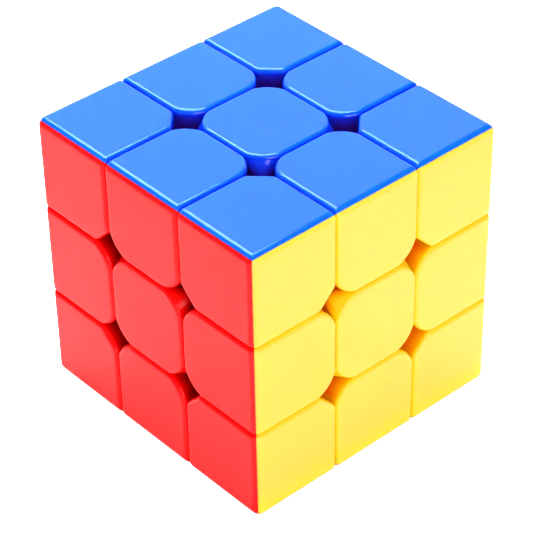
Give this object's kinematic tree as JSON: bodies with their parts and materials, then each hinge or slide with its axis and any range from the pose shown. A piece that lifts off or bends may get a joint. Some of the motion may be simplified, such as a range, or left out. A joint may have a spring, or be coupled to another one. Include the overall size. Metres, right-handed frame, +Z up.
{
  "type": "twisty puzzle cube",
  "caption": "Stickerless cube puzzle whose layers turn on a sprung core, with coloured corner, edge and centre pieces.",
  "frame": {"origin": "middle of the core, which is the centre of the cube", "axes": "+Z up through the blue face, -Y out of the red face and +X out of the yellow face"},
  "size_m": [0.056, 0.056, 0.056],
  "materials": {
    "blue_plastic": "satin moulded plastic",
    "green_plastic": "satin moulded plastic",
    "red_plastic": "satin moulded plastic",
    "orange_plastic": "satin moulded plastic",
    "yellow_plastic": "satin moulded plastic",
    "white_plastic": "satin moulded plastic",
    "core_plastic": "matt moulded nylon",
    "screw_steel": "plated machine screw",
    "spring_steel": "drawn spring wire"
  },
  "bodies": {
    "core": {"core": "core_plastic", "screw_up": "screw_steel", "screw_down": "screw_steel", "screw_front": "screw_steel", "screw_back": "screw_steel", "screw_right": "screw_steel", "screw_left": "screw_steel", "spring_up": "spring_steel", "spring_down": "spring_steel", "spring_front": "spring_steel", "spring_back": "spring_steel", "spring_right": "spring_steel", "spring_left": "spring_steel"},
    "centre_up": {"centre_base_up": "blue_plastic"},
    "centre_down": {"centre_base_down": "green_plastic"},
    "centre_front": {"centre_base_front": "red_plastic"},
    "centre_back": {"centre_base_back": "orange_plastic"},
    "centre_right": {"centre_base_right": "yellow_plastic"},
    "centre_left": {"centre_base_left": "white_plastic"},
    "cap_up": {"centre_cap_up": "blue_plastic"},
    "cap_down": {"centre_cap_down": "green_plastic"},
    "cap_front": {"centre_cap_front": "red_plastic"},
    "cap_back": {"centre_cap_back": "orange_plastic"},
    "cap_right": {"centre_cap_right": "yellow_plastic"},
    "cap_left": {"centre_cap_left": "white_plastic"},
    "edge_up_front": {"edge_up_front_half_up": "blue_plastic", "edge_up_front_half_front": "red_plastic"},
    "edge_up_back": {"edge_up_back_half_up": "blue_plastic", "edge_up_back_half_back": "orange_plastic"},
    "edge_up_right": {"edge_up_right_half_up": "blue_plastic", "edge_up_right_half_right": "yellow_plastic"},
    "edge_up_left": {"edge_up_left_half_up": "blue_plastic", "edge_up_left_half_left": "white_plastic"},
    "edge_down_front": {"edge_down_front_half_down": "green_plastic", "edge_down_front_half_front": "red_plastic"},
    "edge_down_back": {"edge_down_back_half_down": "green_plastic", "edge_down_back_half_back": "orange_plastic"},
    "edge_down_right": {"edge_down_right_half_down": "green_plastic", "edge_down_right_half_right": "yellow_plastic"},
    "edge_down_left": {"edge_down_left_half_down": "green_plastic", "edge_down_left_half_left": "white_plastic"},
    "edge_front_right": {"edge_front_right_half_front": "red_plastic", "edge_front_right_half_right": "yellow_plastic"},
    "edge_front_left": {"edge_front_left_half_front": "red_plastic", "edge_front_left_half_left": "white_plastic"},
    "edge_back_right": {"edge_back_right_half_back": "orange_plastic", "edge_back_right_half_right": "yellow_plastic"},
    "edge_back_left": {"edge_back_left_half_back": "orange_plastic", "edge_back_left_half_left": "white_plastic"},
    "corner_up_front_right": {"corner_up_front_right": "blue_plastic"},
    "corner_up_front_left": {"corner_up_front_left": "blue_plastic"},
    "corner_up_back_right": {"corner_up_back_right": "blue_plastic"},
    "corner_up_back_left": {"corner_up_back_left": "blue_plastic"},
    "corner_down_front_right": {"corner_down_front_right": "green_plastic"},
    "corner_down_front_left": {"corner_down_front_left": "green_plastic"},
    "corner_down_back_right": {"corner_down_back_right": "green_plastic"},
    "corner_down_back_left": {"corner_down_back_left": "green_plastic"}
  },
  "joints": [
    {"name": "layer_turn_up", "type": "hinge", "parent": "core", "child": "centre_up", "pos_m": [0, 0, 0], "axis": [0, 0, 1], "continuous": true},
    {"name": "layer_turn_down", "type": "hinge", "parent": "core", "child": "centre_down", "pos_m": [0, 0, 0], "axis": [0, 0, -1], "continuous": true},
    {"name": "layer_turn_front", "type": "hinge", "parent": "core", "child": "centre_front", "pos_m": [0, 0, 0], "axis": [0, -1, 0], "continuous": true},
    {"name": "layer_turn_back", "type": "hinge", "parent": "core", "child": "centre_back", "pos_m": [0, 0, 0], "axis": [0, 1, 0], "continuous": true},
    {"name": "layer_turn_right", "type": "hinge", "parent": "core", "child": "centre_right", "pos_m": [0, 0, 0], "axis": [1, 0, 0], "continuous": true},
    {"name": "layer_turn_left", "type": "hinge", "parent": "core", "child": "centre_left", "pos_m": [0, 0, 0], "axis": [-1, 0, 0], "continuous": true},
    {"name": "lift_cap_up", "type": "slide", "parent": "centre_up", "child": "cap_up", "axis": [0, 0, 1], "range_m": [0, 0.012]},
    {"name": "lift_cap_down", "type": "slide", "parent": "centre_down", "child": "cap_down", "axis": [0, 0, -1], "range_m": [0, 0.012]},
    {"name": "lift_cap_front", "type": "slide", "parent": "centre_front", "child": "cap_front", "axis": [0, -1, 0], "range_m": [0, 0.012]},
    {"name": "lift_cap_back", "type": "slide", "parent": "centre_back", "child": "cap_back", "axis": [0, 1, 0], "range_m": [0, 0.012]},
    {"name": "lift_cap_right", "type": "slide", "parent": "centre_right", "child": "cap_right", "axis": [1, 0, 0], "range_m": [0, 0.012]},
    {"name": "lift_cap_left", "type": "slide", "parent": "centre_left", "child": "cap_left", "axis": [-1, 0, 0], "range_m": [0, 0.012]},
    {"name": "edge_up_front_follows_up", "type": "hinge", "parent": "centre_front", "child": "edge_up_front", "pos_m": [0, 0, 0], "axis": [0, 0, 1], "continuous": true},
    {"name": "edge_up_back_follows_up", "type": "hinge", "parent": "centre_back", "child": "edge_up_back", "pos_m": [0, 0, 0], "axis": [0, 0, 1], "continuous": true},
    {"name": "edge_up_right_follows_right", "type": "hinge", "parent": "centre_up", "child": "edge_up_right", "pos_m": [0, 0, 0], "axis": [1, 0, 0], "continuous": true},
    {"name": "edge_up_left_follows_left", "type": "hinge", "parent": "centre_up", "child": "edge_up_left", "pos_m": [0, 0, 0], "axis": [-1, 0, 0], "continuous": true},
    {"name": "edge_down_front_follows_down", "type": "hinge", "parent": "centre_front", "child": "edge_down_front", "pos_m": [0, 0, 0], "axis": [0, 0, -1], "continuous": true},
    {"name": "edge_down_back_follows_down", "type": "hinge", "parent": "centre_back", "child": "edge_down_back", "pos_m": [0, 0, 0], "axis": [0, 0, -1], "continuous": true},
    {"name": "edge_down_right_follows_right", "type": "hinge", "parent": "centre_down", "child": "edge_down_right", "pos_m": [0, 0, 0], "axis": [1, 0, 0], "continuous": true},
    {"name": "edge_down_left_follows_left", "type": "hinge", "parent": "centre_down", "child": "edge_down_left", "pos_m": [0, 0, 0], "axis": [-1, 0, 0], "continuous": true},
    {"name": "edge_front_right_follows_front", "type": "hinge", "parent": "centre_right", "child": "edge_front_right", "pos_m": [0, 0, 0], "axis": [0, -1, 0], "continuous": true},
    {"name": "edge_front_left_follows_front", "type": "hinge", "parent": "centre_left", "child": "edge_front_left", "pos_m": [0, 0, 0], "axis": [0, -1, 0], "continuous": true},
    {"name": "edge_back_right_follows_back", "type": "hinge", "parent": "centre_right", "child": "edge_back_right", "pos_m": [0, 0, 0], "axis": [0, 1, 0], "continuous": true},
    {"name": "edge_back_left_follows_back", "type": "hinge", "parent": "centre_left", "child": "edge_back_left", "pos_m": [0, 0, 0], "axis": [0, 1, 0], "continuous": true},
    {"name": "corner_up_front_right_follows_front", "type": "hinge", "parent": "edge_up_right", "child": "corner_up_front_right", "pos_m": [0, 0, 0], "axis": [0, -1, 0], "continuous": true},
    {"name": "corner_up_front_left_follows_front", "type": "hinge", "parent": "edge_up_left", "child": "corner_up_front_left", "pos_m": [0, 0, 0], "axis": [0, -1, 0], "continuous": true},
    {"name": "corner_up_back_right_follows_back", "type": "hinge", "parent": "edge_up_right", "child": "corner_up_back_right", "pos_m": [0, 0, 0], "axis": [0, 1, 0], "continuous": true},
    {"name": "corner_up_back_left_follows_back", "type": "hinge", "parent": "edge_up_left", "child": "corner_up_back_left", "pos_m": [0, 0, 0], "axis": [0, 1, 0], "continuous": true},
    {"name": "corner_down_front_right_follows_front", "type": "hinge", "parent": "edge_down_right", "child": "corner_down_front_right", "pos_m": [0, 0, 0], "axis": [0, -1, 0], "continuous": true},
    {"name": "corner_down_front_left_follows_front", "type": "hinge", "parent": "edge_down_left", "child": "corner_down_front_left", "pos_m": [0, 0, 0], "axis": [0, -1, 0], "continuous": true},
    {"name": "corner_down_back_right_follows_back", "type": "hinge", "parent": "edge_down_right", "child": "corner_down_back_right", "pos_m": [0, 0, 0], "axis": [0, 1, 0], "continuous": true},
    {"name": "corner_down_back_left_follows_back", "type": "hinge", "parent": "edge_down_left", "child": "corner_down_back_left", "pos_m": [0, 0, 0], "axis": [0, 1, 0], "continuous": true}
  ],
  "couplings": [
    {"joint": "edge_up_front_follows_up", "follows": "layer_turn_up", "ratio": 1},
    {"joint": "edge_up_back_follows_up", "follows": "layer_turn_up", "ratio": 1},
    {"joint": "edge_up_right_follows_right", "follows": "layer_turn_right", "ratio": 1},
    {"joint": "edge_up_left_follows_left", "follows": "layer_turn_left", "ratio": 1},
    {"joint": "edge_down_front_follows_down", "follows": "layer_turn_down", "ratio": 1},
    {"joint": "edge_down_back_follows_down", "follows": "layer_turn_down", "ratio": 1},
    {"joint": "edge_down_right_follows_right", "follows": "layer_turn_right", "ratio": 1},
    {"joint": "edge_down_left_follows_left", "follows": "layer_turn_left", "ratio": 1},
    {"joint": "edge_front_right_follows_front", "follows": "layer_turn_front", "ratio": 1},
    {"joint": "edge_front_left_follows_front", "follows": "layer_turn_front", "ratio": 1},
    {"joint": "edge_back_right_follows_back", "follows": "layer_turn_back", "ratio": 1},
    {"joint": "edge_back_left_follows_back", "follows": "layer_turn_back", "ratio": 1},
    {"joint": "corner_up_front_right_follows_front", "follows": "layer_turn_front", "ratio": 1},
    {"joint": "corner_up_front_left_follows_front", "follows": "layer_turn_front", "ratio": 1},
    {"joint": "corner_up_back_right_follows_back", "follows": "layer_turn_back", "ratio": 1},
    {"joint": "corner_up_back_left_follows_back", "follows": "layer_turn_back", "ratio": 1},
    {"joint": "corner_down_front_right_follows_front", "follows": "layer_turn_front", "ratio": 1},
    {"joint": "corner_down_front_left_follows_front", "follows": "layer_turn_front", "ratio": 1},
    {"joint": "corner_down_back_right_follows_back", "follows": "layer_turn_back", "ratio": 1},
    {"joint": "corner_down_back_left_follows_back", "follows": "layer_turn_back", "ratio": 1}
  ]
}
